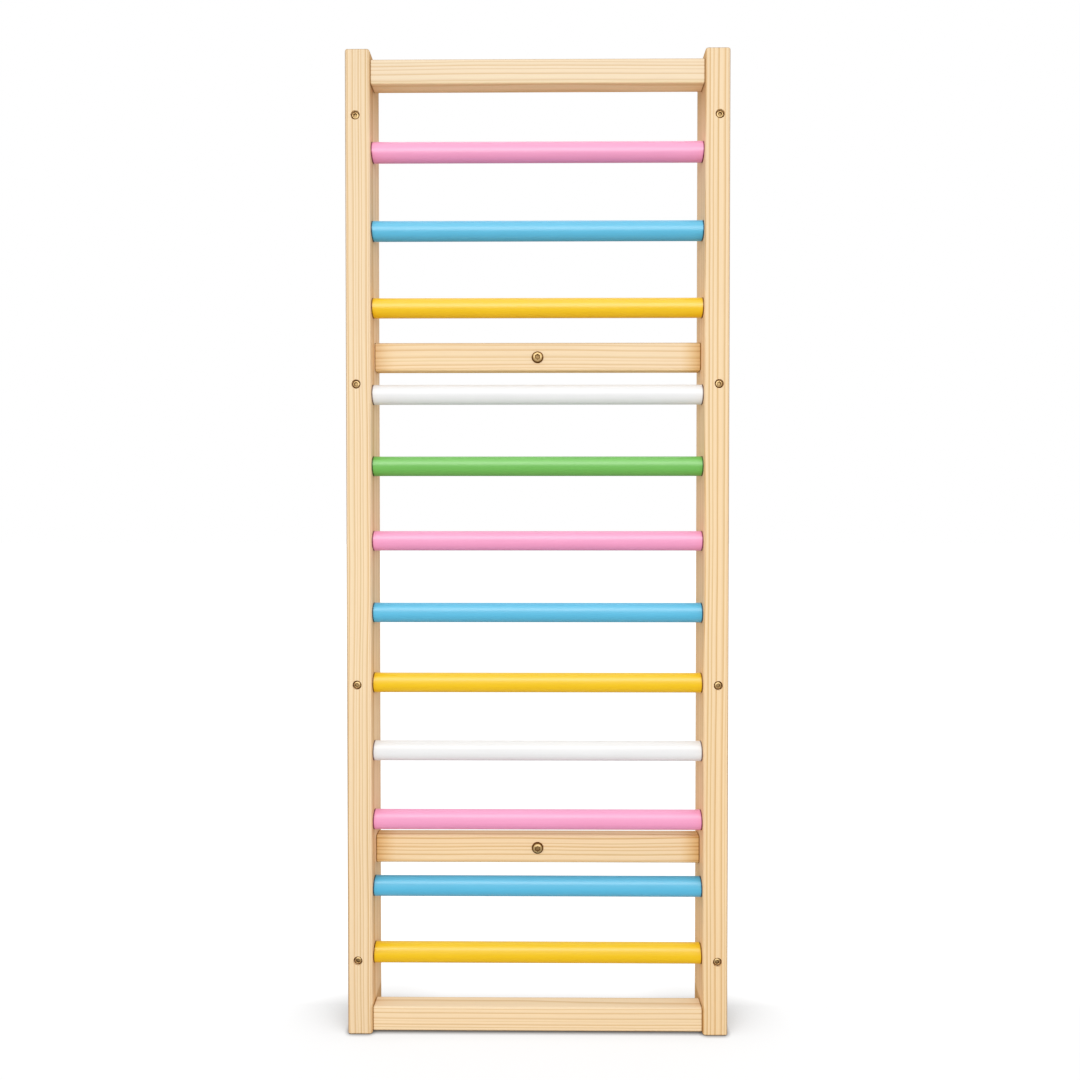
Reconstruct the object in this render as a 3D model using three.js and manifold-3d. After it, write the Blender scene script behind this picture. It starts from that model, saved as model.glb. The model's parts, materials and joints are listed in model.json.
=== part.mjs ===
// Swedish wall bars: two pine posts joined by rails and a ladder of painted round rungs.
// Units are millimetres. +Z is up, +X is to the right seen from the front, -Y is the front.
// The origin is on the floor under the middle of the frame.

import * as THREE from 'three';
import { mergeVertices } from 'three/addons/utils/BufferGeometryUtils.js';
import Module from 'manifold-3d';

const wasm = await Module();
wasm.setup();

// Posts
const CLEAR_WIDTH = 550; // between the inner faces of the posts
const POST_WIDTH = 41;
const POST_DEPTH = 80;
const POST_HORN = 15; // how far a post stands above the top rail
const POST_EDGE_RADIUS = 4.5; // along the four long edges
const POST_END_EASE = 3.5; // round the top and the foot
const CORNER_LIMIT = 0.9; // share of the edge radius that the ease at the ends may take up

// Rungs
const RUNG_DIAMETER = 33;
const RUNG_COVER = 9; // from the post's front face to the front of a rung
const RUNG_END_CHAMFER = 2; // leads a rung into its socket

// Clear heights of the ladder, from the floor up
const BOTTOM_RAIL_LIFT = 3.6; // keeps the weight on the posts' feet
const LOWEST_GAP = 66; // bottom rail to the first rung
const RUNG_GAPS = [80, 80, 83.5, 82, 85, 87.5, 92, 86.5, 111.5, 95, 97.5]; // rung to rung
const HIGHEST_GAP = 87.5; // last rung to the top rail

// Top and bottom rails
const FRAME_RAIL_HEIGHT = 40;
const FRAME_RAIL_THICKNESS = 32;
const FRAME_RAIL_SETBACK = 5; // from the post's front face

// Wall rails: each lies in the gap above one rung, behind the rungs
const WALL_RAIL_HEIGHT = 47;
const WALL_RAIL_THICKNESS = 26;
const WALL_RAIL_SETBACK = 35; // from the post's front face
const LOWER_WALL_RAIL_RISE = 18.5; // from the top of the rung below
const UPPER_WALL_RAIL_RISE = 26;
const LOWER_RAIL_BOLT_RISE = 2.5; // from the rail's middle to its bolt
const UPPER_RAIL_BOLT_RISE = -1.5;
const WALL_RAILS = [
  { name: 'lower_wall_rail', rung: 2, rise: LOWER_WALL_RAIL_RISE, boltRise: LOWER_RAIL_BOLT_RISE },
  { name: 'upper_wall_rail', rung: 9, rise: UPPER_WALL_RAIL_RISE, boltRise: UPPER_RAIL_BOLT_RISE },
];

const RAIL_EDGE_RADIUS = 3; // along the four long edges
const RAIL_END_EASE = 1; // round the ends that meet the posts

// Dowels in the rail joints, two in each end
const DOWEL_DIAMETER = 8;
const DOWEL_IN_RAIL = 24;
const DOWEL_EDGE = 10; // from the rail's upper or lower edge to the dowel's axis
const DOWEL_CHAMFER = 1;

// Bolts that fix the posts to the wall: the rung each is near, and its rise from that rung's axis
const POST_BOLT_INSET = 17.5; // from the post's outer face to the bolt's axis
const FIRST_BOLT_RISE = -2.5;
const THIRD_BOLT_RISE = 14;
const FOURTH_BOLT_RISE = 50.5;
const POST_BOLT_LEVELS = [
  { rung: 1, rise: FIRST_BOLT_RISE },
  { rung: 5, rise: 0 },
  { rung: 9, rise: THIRD_BOLT_RISE },
  { rung: 12, rise: FOURTH_BOLT_RISE },
];
const POST_BOLT = {
  shankDiameter: 8,
  headDiameter: 14,
  headHeight: 4.4,
  headRim: 0.8, // straight side of the head below its dome
  socketAcross: 6, // across the flats of the hexagon
  socketDepth: 2.6,
};
const HEAD_SINK = 0.4; // crown below the post's front face

// Bolts through the wall rails
const RAIL_BOLT = {
  shankDiameter: 12,
  headDiameter: 20,
  headHeight: 6,
  headRim: 1,
  socketAcross: 8,
  socketDepth: 3.4,
};

const BOLT_TIP_CHAMFER = 1;
const BOLT_TIP_SHORT = 1; // from a bolt's tip to the wall plane at the posts' backs

// Fits
const FIT_GAP = 0.3; // round and behind whatever sits in a bored hole, and at a butt joint
const HEAD_GAP = 0.6; // round a bolt head in its counterbore
const SOCKET_WEB = 3.2; // wood between the end of a rung's socket and a bolt hole
const OVERCUT = 1; // cutters start this far outside the wood

// Facets
const RUNG_SIDES = 28;
const BOLT_SIDES = 20;
const DOWEL_SIDES = 10;
const CORNER_STEPS = 3;
const RAIL_END_STEPS = 1;
const DOME_STEPS = 3;
const HEXAGON_SIDES = 6;
const MERGE_DISTANCE = 1e-4;

// Places worked out from the sizes above
const RUNG_RADIUS = RUNG_DIAMETER / 2;
const SIDES = [
  { name: 'left', sign: -1 },
  { name: 'right', sign: 1 },
];
const POST_CENTRE_X = (CLEAR_WIDTH + POST_WIDTH) / 2;
const FRONT_Y = -POST_DEPTH / 2;
const BACK_Y = POST_DEPTH / 2;
const RUNG_Y = FRONT_Y + RUNG_COVER + RUNG_RADIUS;
const FRAME_RAIL_Y = FRONT_Y + FRAME_RAIL_SETBACK + FRAME_RAIL_THICKNESS / 2;
const WALL_RAIL_Y = FRONT_Y + WALL_RAIL_SETBACK + WALL_RAIL_THICKNESS / 2;
const POST_BOLT_X = POST_CENTRE_X + POST_WIDTH / 2 - POST_BOLT_INSET;

const POST_BOLT_HOLE = POST_BOLT.shankDiameter / 2 + FIT_GAP;
const SOCKET_DEPTH = POST_WIDTH - POST_BOLT_INSET - POST_BOLT_HOLE - SOCKET_WEB;
const RAIL_LENGTH = CLEAR_WIDTH - 2 * FIT_GAP;
const RUNG_LENGTH = CLEAR_WIDTH + 2 * (SOCKET_DEPTH - FIT_GAP);

const RUNG_HEIGHTS = stackRungs();
const TOP_RAIL_Z = RUNG_HEIGHTS.at(-1) + RUNG_RADIUS + HIGHEST_GAP + FRAME_RAIL_HEIGHT / 2;
const POST_HEIGHT = TOP_RAIL_Z + FRAME_RAIL_HEIGHT / 2 + POST_HORN;
const POST_BOLT_HEIGHTS = POST_BOLT_LEVELS.map(({ rung, rise }) => rungHeight(rung) + rise);

const RAILS = [
  frameRail('bottom_rail', BOTTOM_RAIL_LIFT + FRAME_RAIL_HEIGHT / 2),
  frameRail('top_rail', TOP_RAIL_Z),
  ...WALL_RAILS.map(wallRail),
];

/** Heights of the rung axes, stacked up from the bottom rail gap by gap. */
function stackRungs() {
  const first = BOTTOM_RAIL_LIFT + FRAME_RAIL_HEIGHT + LOWEST_GAP + RUNG_RADIUS;
  const heights = [first];
  for (const gap of RUNG_GAPS) {
    heights.push(heights.at(-1) + RUNG_DIAMETER + gap);
  }
  return heights;
}

/** Height of a rung's axis, with the rungs counted from 1 at the floor. */
function rungHeight(number) {
  return RUNG_HEIGHTS[number - 1];
}

/** The top or bottom rail, with its middle at the given height. */
function frameRail(name, z) {
  return {
    name,
    y: FRAME_RAIL_Y,
    z,
    height: FRAME_RAIL_HEIGHT,
    thickness: FRAME_RAIL_THICKNESS,
    bolt: null,
    boltRise: 0,
  };
}

/** A wall rail that clears the top of its rung by the given rise. */
function wallRail({ name, rung, rise, boltRise }) {
  return {
    name,
    y: WALL_RAIL_Y,
    z: rungHeight(rung) + RUNG_RADIUS + rise + WALL_RAIL_HEIGHT / 2,
    height: WALL_RAIL_HEIGHT,
    thickness: WALL_RAIL_THICKNESS,
    bolt: RAIL_BOLT,
    boltRise,
  };
}

/** Heights of the two dowels in a rail's end, from the rail's own middle. */
function dowelOffsets(rail) {
  const reach = rail.height / 2 - DOWEL_EDGE;
  return [
    { name: 'lower', z: -reach },
    { name: 'upper', z: reach },
  ];
}

/** A geometry's points without doubles, as a solid that can be cut. */
function toSolid(geometry) {
  const bare = geometry.clone();
  bare.deleteAttribute('normal');
  bare.deleteAttribute('uv');
  const merged = mergeVertices(bare, MERGE_DISTANCE);
  const corners = merged.index.array;
  const triangles = [];
  for (let start = 0; start < corners.length; start += 3) {
    const [a, b, c] = corners.slice(start, start + 3);
    const collapsed = a === b || b === c || c === a;
    if (!collapsed) {
      triangles.push(a, b, c);
    }
  }
  return new wasm.Manifold(new wasm.Mesh({
    numProp: 3,
    vertProperties: new Float32Array(merged.attributes.position.array),
    triVerts: new Uint32Array(triangles),
  }));
}

function toGeometry(solid) {
  const { vertProperties, triVerts } = solid.getMesh();
  const geometry = new THREE.BufferGeometry();
  geometry.setAttribute('position', new THREE.BufferAttribute(vertProperties, 3));
  geometry.setIndex(new THREE.BufferAttribute(triVerts, 1));
  geometry.computeVertexNormals();
  return geometry;
}

/** The body with each cutter taken out of it. */
function bore(body, cutters) {
  const bored = cutters.reduce((solid, cutter) => solid.subtract(toSolid(cutter)), toSolid(body));
  return toGeometry(bored);
}

/** A rectangle with rounded corners, centred on the origin. */
function roundedRectangle(width, height, radius) {
  const right = width / 2 - radius;
  const top = height / 2 - radius;
  const quarter = Math.PI / 2;
  const shape = new THREE.Shape();
  shape.absarc(right, top, radius, 0, quarter);
  shape.absarc(-right, top, radius, quarter, 2 * quarter);
  shape.absarc(-right, -top, radius, 2 * quarter, 3 * quarter);
  shape.absarc(right, -top, radius, 3 * quarter, 4 * quarter);
  return shape;
}

/** A cylinder along X whose middle is at the given point. */
function cylinderAlongX(radius, length, sides, x, y, z) {
  return new THREE.CylinderGeometry(radius, radius, length, sides).rotateZ(Math.PI / 2).translate(x, y, z);
}

/** A cylinder along Y from one depth to another. */
function cylinderAlongY(radius, fromY, toY, sides, x, z) {
  const length = toY - fromY;
  return new THREE.CylinderGeometry(radius, radius, length, sides).translate(x, fromY + length / 2, z);
}

/** A round peg along X, turned to its diameter and chamfered at both ends. */
function turnedPeg(diameter, length, chamfer, sides) {
  const radius = diameter / 2;
  const end = length / 2;
  const profile = [
    new THREE.Vector2(0, -end),
    new THREE.Vector2(radius - chamfer, -end),
    new THREE.Vector2(radius, chamfer - end),
    new THREE.Vector2(radius, end - chamfer),
    new THREE.Vector2(radius - chamfer, end),
    new THREE.Vector2(0, end),
  ];
  const turned = new THREE.LatheGeometry(profile, sides).rotateZ(-Math.PI / 2);
  return toGeometry(toSolid(turned));
}

/** A bar along Z from the origin, with rounded long edges and eased ends. */
function planedBar(width, depth, length, edgeRadius, endEase, endSteps) {
  const outline = roundedRectangle(width, depth, edgeRadius);
  const ease = Math.min(endEase, CORNER_LIMIT * edgeRadius);
  return new THREE.ExtrudeGeometry(outline, {
    depth: length - 2 * ease,
    curveSegments: CORNER_STEPS,
    bevelEnabled: true,
    bevelSegments: endSteps,
    bevelThickness: ease,
    bevelSize: ease,
    bevelOffset: -ease,
  }).translate(0, 0, ease);
}

/** A blind hole in the post's inner face, with its mouth at the given depth and height. */
function innerFaceHole(inward, radius, sides, y, z) {
  const length = SOCKET_DEPTH + OVERCUT;
  const floorX = POST_WIDTH / 2 - SOCKET_DEPTH;
  return cylinderAlongX(radius, length, sides, inward * (floorX + length / 2), y, z);
}

/** A post bored for its rungs and dowels, and for its bolts from front to back. */
function postGeometry(side) {
  const inward = -side.sign;
  const boltX = side.sign * (POST_WIDTH / 2 - POST_BOLT_INSET);
  const headRadius = POST_BOLT.headDiameter / 2 + HEAD_GAP;
  const headSeatY = FRONT_Y + HEAD_SINK + POST_BOLT.headHeight + FIT_GAP;
  const dowelRadius = DOWEL_DIAMETER / 2 + FIT_GAP;
  const cutters = [];
  for (const z of RUNG_HEIGHTS) {
    cutters.push(innerFaceHole(inward, RUNG_RADIUS + FIT_GAP, RUNG_SIDES, RUNG_Y, z));
  }
  for (const rail of RAILS) {
    for (const dowel of dowelOffsets(rail)) {
      cutters.push(innerFaceHole(inward, dowelRadius, DOWEL_SIDES, rail.y, rail.z + dowel.z));
    }
  }
  const startY = FRONT_Y - OVERCUT;
  for (const z of POST_BOLT_HEIGHTS) {
    cutters.push(cylinderAlongY(POST_BOLT_HOLE, startY, BACK_Y + OVERCUT, BOLT_SIDES, boltX, z));
    cutters.push(cylinderAlongY(headRadius, startY, headSeatY, BOLT_SIDES, boltX, z));
  }
  const blank = planedBar(
    POST_WIDTH,
    POST_DEPTH,
    POST_HEIGHT,
    POST_EDGE_RADIUS,
    POST_END_EASE,
    CORNER_STEPS,
  );
  return bore(blank, cutters);
}

/** A rail along X about its own middle, bored for its dowels and for any bolt. */
function railGeometry(rail) {
  const blank = planedBar(
    rail.height,
    rail.thickness,
    RAIL_LENGTH,
    RAIL_EDGE_RADIUS,
    RAIL_END_EASE,
    RAIL_END_STEPS,
  ).translate(0, 0, -RAIL_LENGTH / 2).rotateY(Math.PI / 2);

  const holeLength = DOWEL_IN_RAIL + OVERCUT;
  const holeCentre = RAIL_LENGTH / 2 - DOWEL_IN_RAIL + holeLength / 2;
  const dowelRadius = DOWEL_DIAMETER / 2 + FIT_GAP;
  const cutters = [];
  for (const side of SIDES) {
    for (const dowel of dowelOffsets(rail)) {
      const holeX = side.sign * holeCentre;
      cutters.push(cylinderAlongX(dowelRadius, holeLength, DOWEL_SIDES, holeX, 0, dowel.z));
    }
  }
  if (rail.bolt) {
    const boltRadius = rail.bolt.shankDiameter / 2 + FIT_GAP;
    const reach = rail.thickness / 2 + OVERCUT;
    cutters.push(cylinderAlongY(boltRadius, -reach, reach, BOLT_SIDES, 0, rail.boltRise));
  }
  return bore(blank, cutters);
}

/** A button-head bolt along Y: its head's flat underside is at Y = 0 and its tip at Y = shankLength. */
function boltGeometry(bolt, shankLength) {
  const headRadius = bolt.headDiameter / 2;
  const shankRadius = bolt.shankDiameter / 2;
  const domeHeight = bolt.headHeight - bolt.headRim;
  const profile = [];
  for (let step = 0; step <= DOME_STEPS; step += 1) {
    const angle = (step / DOME_STEPS) * (Math.PI / 2);
    const y = -bolt.headRim - domeHeight * Math.cos(angle);
    profile.push(new THREE.Vector2(headRadius * Math.sin(angle), y));
  }
  profile.push(
    new THREE.Vector2(headRadius, 0),
    new THREE.Vector2(shankRadius, 0),
    new THREE.Vector2(shankRadius, shankLength - BOLT_TIP_CHAMFER),
    new THREE.Vector2(shankRadius - BOLT_TIP_CHAMFER, shankLength),
    new THREE.Vector2(0, shankLength),
  );
  const turned = new THREE.LatheGeometry(profile, BOLT_SIDES);
  const cornerRadius = bolt.socketAcross / Math.sqrt(3);
  const socketLength = bolt.socketDepth + OVERCUT;
  const socketMiddle = -bolt.headHeight - OVERCUT + socketLength / 2;
  const hexagon = new THREE.CylinderGeometry(cornerRadius, cornerRadius, socketLength, HEXAGON_SIDES);
  return bore(turned, [hexagon.translate(0, socketMiddle, 0)]);
}

function finish(color, roughness, metalness = 0) {
  return new THREE.MeshStandardMaterial({ color, roughness, metalness });
}

const PINE = finish(0xf3d9ad, 0.6);
const BEECH = finish(0xd9b98c, 0.7);
const BRASS = finish(0xb98f45, 0.3, 1);
const PINK = finish(0xf39fc6, 0.35);
const BLUE = finish(0x64bee0, 0.35);
const YELLOW = finish(0xfac430, 0.35);
const WHITE = finish(0xf4f4f2, 0.35);
const GREEN = finish(0x78bf62, 0.35);

// Paint of the rungs, from the floor up
const RUNG_PAINTS = [YELLOW, BLUE, PINK, WHITE, YELLOW, BLUE, PINK, GREEN, WHITE, YELLOW, BLUE, PINK];

/** One named piece with its place in the frame. */
function piece(name, geometry, material, x, y, z) {
  const mesh = new THREE.Mesh(geometry, material);
  mesh.name = name;
  mesh.position.set(x, y, z);
  return mesh;
}

function posts() {
  const group = new THREE.Group();
  for (const side of SIDES) {
    group.add(piece(`${side.name}_post`, postGeometry(side), PINE, side.sign * POST_CENTRE_X, 0, 0));
  }
  return group;
}

function rails() {
  const group = new THREE.Group();
  for (const rail of RAILS) {
    group.add(piece(rail.name, railGeometry(rail), PINE, 0, rail.y, rail.z));
  }
  return group;
}

function rungs() {
  const group = new THREE.Group();
  const geometry = turnedPeg(RUNG_DIAMETER, RUNG_LENGTH, RUNG_END_CHAMFER, RUNG_SIDES);
  RUNG_HEIGHTS.forEach((z, index) => {
    const name = `rung_${String(index + 1).padStart(2, '0')}`;
    group.add(piece(name, geometry, RUNG_PAINTS[index], 0, RUNG_Y, z));
  });
  return group;
}

/** Dowels run from the floor of the hole in the post to the floor of the hole in the rail. */
function dowels() {
  const group = new THREE.Group();
  const innerEnd = RAIL_LENGTH / 2 - DOWEL_IN_RAIL + FIT_GAP;
  const outerEnd = CLEAR_WIDTH / 2 + SOCKET_DEPTH - FIT_GAP;
  const geometry = turnedPeg(DOWEL_DIAMETER, outerEnd - innerEnd, DOWEL_CHAMFER, DOWEL_SIDES);
  const middle = (innerEnd + outerEnd) / 2;
  for (const rail of RAILS) {
    for (const side of SIDES) {
      for (const dowel of dowelOffsets(rail)) {
        const name = `${rail.name}_dowel_${side.name}_${dowel.name}`;
        group.add(piece(name, geometry, BEECH, side.sign * middle, rail.y, rail.z + dowel.z));
      }
    }
  }
  return group;
}

/** Bolts through the posts, with their heads sunk in the front, and through the wall rails. */
function bolts() {
  const group = new THREE.Group();
  const tipY = BACK_Y - BOLT_TIP_SHORT;
  const postSeatY = FRONT_Y + HEAD_SINK + POST_BOLT.headHeight;
  const postBolt = boltGeometry(POST_BOLT, tipY - postSeatY);
  for (const side of SIDES) {
    POST_BOLT_HEIGHTS.forEach((z, index) => {
      const name = `${side.name}_post_bolt_${index + 1}`;
      group.add(piece(name, postBolt, BRASS, side.sign * POST_BOLT_X, postSeatY, z));
    });
  }
  for (const rail of RAILS.filter(({ bolt }) => bolt)) {
    const seatY = rail.y - rail.thickness / 2 - FIT_GAP;
    const railBolt = boltGeometry(rail.bolt, tipY - seatY);
    group.add(piece(`${rail.name}_bolt`, railBolt, BRASS, 0, seatY, rail.z + rail.boltRise));
  }
  return group;
}

const wallBars = new THREE.Group();
wallBars.add(posts(), rails(), rungs(), dowels(), bolts());

export default wallBars;
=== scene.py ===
"""Swedish wall bars: pine posts and rails, painted rungs and brass bolts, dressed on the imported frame."""

import json
import math
from collections import namedtuple

import bpy
import numpy as np
from bpy.props import FloatProperty, FloatVectorProperty, PointerProperty
from mathutils import Euler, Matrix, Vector


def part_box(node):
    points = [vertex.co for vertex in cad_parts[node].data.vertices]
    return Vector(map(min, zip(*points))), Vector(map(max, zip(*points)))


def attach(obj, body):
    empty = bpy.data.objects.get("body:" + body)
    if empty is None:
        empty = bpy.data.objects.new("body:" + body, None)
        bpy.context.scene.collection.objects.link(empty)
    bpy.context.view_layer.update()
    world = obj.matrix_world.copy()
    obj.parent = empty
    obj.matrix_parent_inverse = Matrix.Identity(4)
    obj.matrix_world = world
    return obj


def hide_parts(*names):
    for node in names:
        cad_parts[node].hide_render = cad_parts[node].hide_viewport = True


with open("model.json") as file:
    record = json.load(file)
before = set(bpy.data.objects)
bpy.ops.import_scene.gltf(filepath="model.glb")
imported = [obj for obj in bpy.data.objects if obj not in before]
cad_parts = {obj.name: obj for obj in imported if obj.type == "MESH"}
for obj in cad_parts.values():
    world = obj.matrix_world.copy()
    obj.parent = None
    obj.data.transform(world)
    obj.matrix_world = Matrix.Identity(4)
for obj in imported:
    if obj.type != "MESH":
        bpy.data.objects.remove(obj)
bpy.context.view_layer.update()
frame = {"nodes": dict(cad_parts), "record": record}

bl_info = {
    "name": "Swedish wall bars",
    "version": (1, 0, 0),
    "blender": (4, 5, 0),
    "location": "3D View > Sidebar > Wall bars",
    "description": "Dresses a wall bars frame in pine, satin paint and brass",
    "category": "Object",
}

# Axes of the frame: the bars run along X, the bolts along Y and the posts along Z
ALONG_X, ALONG_Y, ALONG_Z = 0, 1, 2

BODY = "root"
NODES = sorted(frame["nodes"])
POSTS = [node for node in NODES if node.endswith("_post")]
RAILS = [node for node in NODES if node.endswith("_rail")]
RUNGS = [node for node in NODES if node.startswith("rung_")]
DOWELS = [node for node in NODES if "_dowel_" in node]
POST_BOLTS = [node for node in NODES if "_post_bolt_" in node]
RAIL_BOLTS = [node for node in NODES if node.endswith("_rail_bolt")]
SLOTS = {row["node"]: row["material_slot"] for row in frame["record"]["subparts"]}

# Mesh fineness
ROUND_SIDES = 96
HOLE_SIDES = 64
BOLT_SIDES = 72
EDGE_STEPS = 6
DOME_STEPS = 10
SHARP_ANGLE = math.radians(32)
SUPPORT = 0.0004  # rows this close to an edge keep the flat faces flat in smooth shading

# Fits of the joints, in metres
FIT_GAP = 0.0003
HEAD_GAP = 0.0006
OVERCUT = 0.001

# Details of the rungs and bolts, lengths in metres
RUNG_LEAD = 0.002  # chamfer that leads a rung into its socket
RIM_EASE = 0.0003
KEY_CHAMFER = 0.0005
KEY_FLOOR_SHARE = 0.75  # clean middle of a key socket's floor as a share of its width
BOLT_TIP = 0.001
BOLT_RIM_SHARE = 0.18  # straight side of a bolt head as a share of its height
DARK_RIM_START, DARK_RIM_FULL = 0.70, 0.80  # shares of a head's radius between which it darkens to its rim, by patina and painted shade
POST_BOLT_PATINA_AND_SHADE = (0.0, 0.5)  # patina and painted shade on the crown of a head and on the floor of its key socket
RAIL_BOLT_PATINA_AND_SHADE = (0.15, 0.7)  # the same on a rail bolt

# Sockets of a Mix node for colours: its factor and two colours, and what comes out
MIX_INPUTS, MIX_RESULT = (0, 6, 7), 2

# Growth of a pine ring: how dark it is through the season, from spring to the end of summer
SEASON = ((0.0, 0.0), (0.46, 0.05), (0.70, 0.45), (0.85, 1.0), (0.94, 0.8), (1.0, 0.0))
WEAKEST_RING = 0.5  # as a share of the strongest

# Bends of the rings: cycles per metre twice across the grain and once along it, and how far they push
LONG_BEND, LONG_BEND_BY = (5.0, 5.0, 1.3), 0.016
SHORT_BEND, SHORT_BEND_BY = (40.0, 40.0, 7.0), 0.0014
UNEVEN_YEARS = {"Scale": 0.45, "Detail": 1.0}  # noise that makes some years wider than others
UNEVEN_BY = 0.6

# A noise in a finish
# scale: cycles per metre along each axis, for pine twice across the grain and once along it
# detail, roughness: how fine the noise is
# span: the low and high value of the noise that count
# tones: how bright the finish is at these two values
Figure = namedtuple("Figure", "scale detail roughness span tones")
FIBRE = Figure((1100.0, 1100.0, 16.0), 3.0, 0.6, (0.25, 0.75), (0.955, 1.035))
STREAK = Figure((260.0, 260.0, 2.5), 2.0, 0.5, (0.3, 0.7), (0.975, 1.02))
PATCH = Figure((9.0, 9.0, 2.2), 3.0, 0.5, (0.25, 0.75), (0.97, 1.03))
FLECK = Figure((220.0, 1500.0, 1500.0), 2.0, 0.5, (0.3, 0.75), (1.05, 0.7))
BRUSH_LINE = Figure((7.0, 420.0, 420.0), 3.0, 0.55, (0.25, 0.75), (0.97, 1.03))
CLOUD = Figure((9.0, 30.0, 30.0), 2.0, 0.5, (0.25, 0.75), (0.985, 1.015))
HUE_SCALE, HUE_DETAIL = (330.0, 330.0, 1.2), 1.0
PEEL_SCALE, PEEL_DETAIL = (700.0, 1100.0, 1100.0), 2.0
SPOT_SCALE, SPOT_DETAIL = (420.0, 420.0, 420.0), 3.0
SPOT_SPAN, SPOT_DULLNESS = (0.35, 0.75), (-0.08, 0.22)
NOISE_SPAN = (0.2, 0.8)  # values that a noise seldom leaves

# Fine relief of the finishes: its strength, and its depth in metres
PINE_RELIEF = (0.22, 0.0003)
BEECH_RELIEF = (0.2, 0.0002)
PAINT_RELIEF = (0.10, 0.0002)
BRASS_RELIEF = (0.08, 0.0001)
LATE_RIDGE = 0.6  # height of the late wood beside the fibres
BRUSH_RIDGE = 1.5  # height of the brush lines beside the peel

# Sheen of the finishes
PINE_ROUGHNESS = (0.72, 0.6)  # of the early and the late wood
BEECH_ROUGHNESS = 0.7
ROUGHNESS_SWAY = 0.05  # of the paint
BRASS_ROUGHNESS = (0.30, 0.6)  # of the clean and the dull metal
BRASS_METALLIC = (1.0, 0.5)
PINE_SPECULAR, PAINT_SPECULAR, BRASS_SPECULAR = 0.05, 0.3, 0.1

# Changes of the wood's colour, as factors of red, green and blue; the side, under, top, edge, seam and socket
# tints are painted light and shade, the socket one with grime
AMBER = (-0.05, 0.0, 0.08)  # taken away for each unit of warmth
PALER, RUDDIER = (0.985, 1.01, 0.99), (1.01, 0.985, 0.955)  # streaks of the grain
PALER_SPAN, RUDDIER_SPAN = (0.45, 0.30), (0.55, 0.70)  # values of the hue noise over which they come in
SIDE_LIGHT_TINT = (1.10, 1.08, 1.08)  # painted light: lightens the sides of the posts
UNDER_SHADE_TINT = (1.06, 1.02, 0.83)  # painted shade: makes the undersides of the rails warmer, as wood looks in shade
# painted light on the tops of the two lower rails: bluer on the bottom rail against the yellow light from the
# rung above, lighter on the lower wall rail's shaded top
TOP_LIGHT_TINTS = {"bottom_rail": (0.94, 1.00, 1.09), "lower_wall_rail": (1.00, 1.10, 1.14)}
EDGE_TINT = (0.58, 0.57, 0.60)  # painted shade on a post's rounded outer edges
# painted shade on a rail's rounded long edges
RAIL_EDGE_TINT = (0.74, 0.74, 0.75)
SEAM_TINT = (0.42, 0.32, 0.20)  # painted shade on a rail's ends, in the joint where it meets a post
SOCKET_TINT = (0.18, 0.12, 0.12)  # painted shade and grime on the paint where a rung enters a post

# Widths of the dark lines of painted shade, in metres: where each starts to fade and where it has gone; the
# socket line is grime as well
EDGE_LINE = (0.0018, 0.0028)
SEAM_LINE = (0.0008, 0.0020)
SOCKET_LINE = (0.0013, 0.0025)
EDGE_SHADE_SHARE = 0.75  # share of an edge's radius, from the face, over which the painted edge shade is full

# A board of pine
# heart: middle of the tree, as an offset across the grain and a shift along it
# spacing: width of a year's ring
# contrast: how strongly the rings show
# paleness: brightness beside the other boards
# warmth: how amber the wood is at its lower or left end, and at the other end
# the last field: the long edges of a rail that get painted shade, 1 for the upper front and lower back ones
# and -1 for the other two; on a post, all the outer edges get it
Board = namedtuple("Board", "heart spacing contrast paleness warmth worn")
BOARDS = {
    "left_post": Board((0.372, 0.055, 0.4), 0.0058, 0.92, 0.985, (0.7, 0.0), 0),
    "right_post": Board((-0.225, 0.060, 2.3), 0.0068, 1.05, 0.965, (1.6, 0.4), 0),
    "bottom_rail": Board((0.105, 0.035, 5.1), 0.0064, 0.85, 1.06, (0.7, 0.7), -1),
    "top_rail": Board((1.660, 0.045, 7.7), 0.0068, 0.75, 1.02, (-0.7, -0.7), 1),
    "lower_wall_rail": Board((0.355, 0.030, 9.2), 0.0066, 1.00, 0.98, (1.5, 0.8), -1),
    "upper_wall_rail": Board((1.205, 0.040, 12.9), 0.0068, 0.75, 0.97, (0.8, 0.0), 1),
}

# Amber shade of the wall rails towards the posts: how strong it is at the left and right end
RAIL_SHADE = {"lower_wall_rail": (0.85, 1.0), "upper_wall_rail": (0.4, 1.0)}
RAIL_SHADE_TINT = (0.85, 0.73, 0.50)
RAIL_SHADE_REACH = 0.034  # in metres

# Shade on the posts' inner sides beside the outer rails: how far it reaches past them, in metres
POST_SHADE = {"bottom_rail": 0.008, "top_rail": 0.090}
POST_SHADE_TINT = (0.76, 0.68, 0.55)

# Stage, lengths in metres
FLOOR_REACH = 40.0
GLOW_SPAN = (0.045, 0.085)  # behind the bars, where the floor brightens to the white of the wall
FLOOR_WHITE = 1.25  # a little over the white point, so that the open floor is plain white
EVEN_SHARE = 0.75  # of the floor's white that only the shade close to the bars can darken
SHADE_REACH = 0.12  # how far the shade of the bars spreads over the floor
SHADE_FROM = (0.0, -0.8, 0.6)  # middle of the half of the sky that lights the floor
SHADE_POWER = 1.7  # deepens that shade
CONTACT_REACH = 0.008  # of the darker line right beside the bars
AIM = (0, 0, 0.85)  # what the lights face
WHITE = (1, 1, 1, 1)
SENSOR_WIDTH = 36.0  # of the camera, in millimetres

# Tones of the scene and how bright they are shown: the brightest roll off gently, as in a photograph
WHITE_POINT = 1.2
TONES = ((0.5, 0.5), (0.8, 0.745), (1.0, 0.885))


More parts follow.
